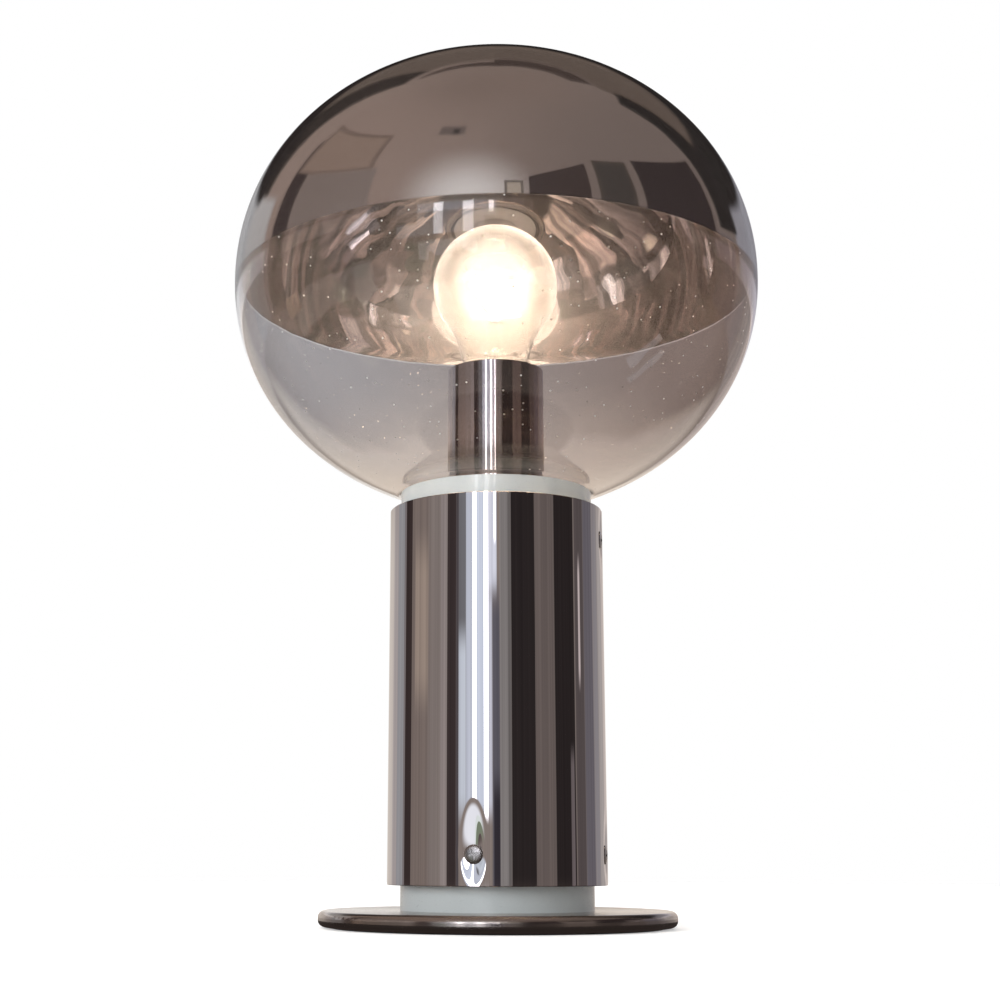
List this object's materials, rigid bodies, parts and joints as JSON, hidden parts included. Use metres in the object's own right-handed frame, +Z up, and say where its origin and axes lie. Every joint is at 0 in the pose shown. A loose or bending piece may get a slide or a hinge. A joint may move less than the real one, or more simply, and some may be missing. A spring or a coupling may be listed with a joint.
{
  "type": "table lamp",
  "caption": "Table lamp with an oblate clear glass globe, silvered in its upper half, on a chromed tubular column over a flat round base, with a screw-in bulb.",
  "frame": {"origin": "centre of the footprint, on the surface that the lamp stands on", "axes": "+Z up along the lamp's axis, -Y towards the front, +X to the right seen from the front"},
  "size_m": [0.2504, 0.2504, 0.4106],
  "materials": {
    "satin_steel": "satin chromed steel disc",
    "felt": "black felt",
    "screw_steel": "zinc plated screws and nuts",
    "white_gloss": "glossy greyish white lacquer",
    "black_rubber": "soft black rubber",
    "polished_chrome": "polished chrome plate",
    "clear_glass": "clear blown glass",
    "silvering": "smoky silvered film",
    "bulb_glass": "clear glass",
    "nickel_cap": "plated threaded cap",
    "black_glass": "black glass insulator",
    "solder": "solder",
    "lead_wire": "nickel wire",
    "glowing_filament": "glowing tungsten",
    "black_bakelite": "moulded black",
    "porcelain": "unglazed porcelain",
    "brass": "bare brass",
    "brown_lead": "brown insulated lead",
    "blue_lead": "blue insulated lead",
    "green_lead": "green insulated lead"
  },
  "bodies": {
    "stand": {"base_disc": "satin_steel", "base_pad": "felt", "base_screws": "screw_steel", "base_hub": "white_gloss", "cord_grommet": "black_rubber", "column_tube": "polished_chrome", "lower_column_screws": "screw_steel", "upper_column_screws": "screw_steel", "upper_collar": "white_gloss", "globe_gasket": "black_rubber", "socket_sleeve": "polished_chrome", "threaded_nipple": "screw_steel", "nipple_washers": "screw_steel", "nipple_nuts": "screw_steel", "holder_cap": "black_bakelite", "holder_insert": "porcelain", "holder_skirt": "black_bakelite", "holder_thread_shell": "brass", "holder_centre_contact": "brass", "holder_terminals": "brass", "holder_terminal_screws": "screw_steel", "terminal_block": "porcelain", "block_mount_screws": "screw_steel", "block_poles": "brass", "block_screws": "screw_steel", "live_lead": "brown_lead", "neutral_lead": "blue_lead", "earth_lead": "green_lead", "earth_tag": "brass", "earth_screw": "screw_steel"},
    "globe": {"globe_glass": "clear_glass", "mirror_film": "silvering"},
    "bulb_end": {"bulb_tip": "solder"},
    "bulb": {"bulb_glass": "bulb_glass", "bulb_cap": "nickel_cap", "bulb_insulator": "black_glass", "bulb_stem": "bulb_glass", "bulb_wires": "lead_wire", "bulb_filament": "glowing_filament"}
  },
  "joints": [
    {"name": "globe_lift", "type": "slide", "parent": "stand", "child": "globe", "axis": [0, 0, 1], "range_m": [0, 0.15]},
    {"name": "bulb_lift", "type": "slide", "parent": "stand", "child": "bulb_end", "axis": [0, 0, 1], "range_m": [0, 0.0218]},
    {"name": "bulb_turn", "type": "hinge", "parent": "bulb_end", "child": "bulb", "pos_m": [0, 0, 0.24], "axis": [0, 0, 1], "range_deg": [0, 2160]}
  ],
  "couplings": [
    {"joint": "bulb_lift", "follows": "bulb_turn", "m_per_rad": 0.00057773}
  ]
}
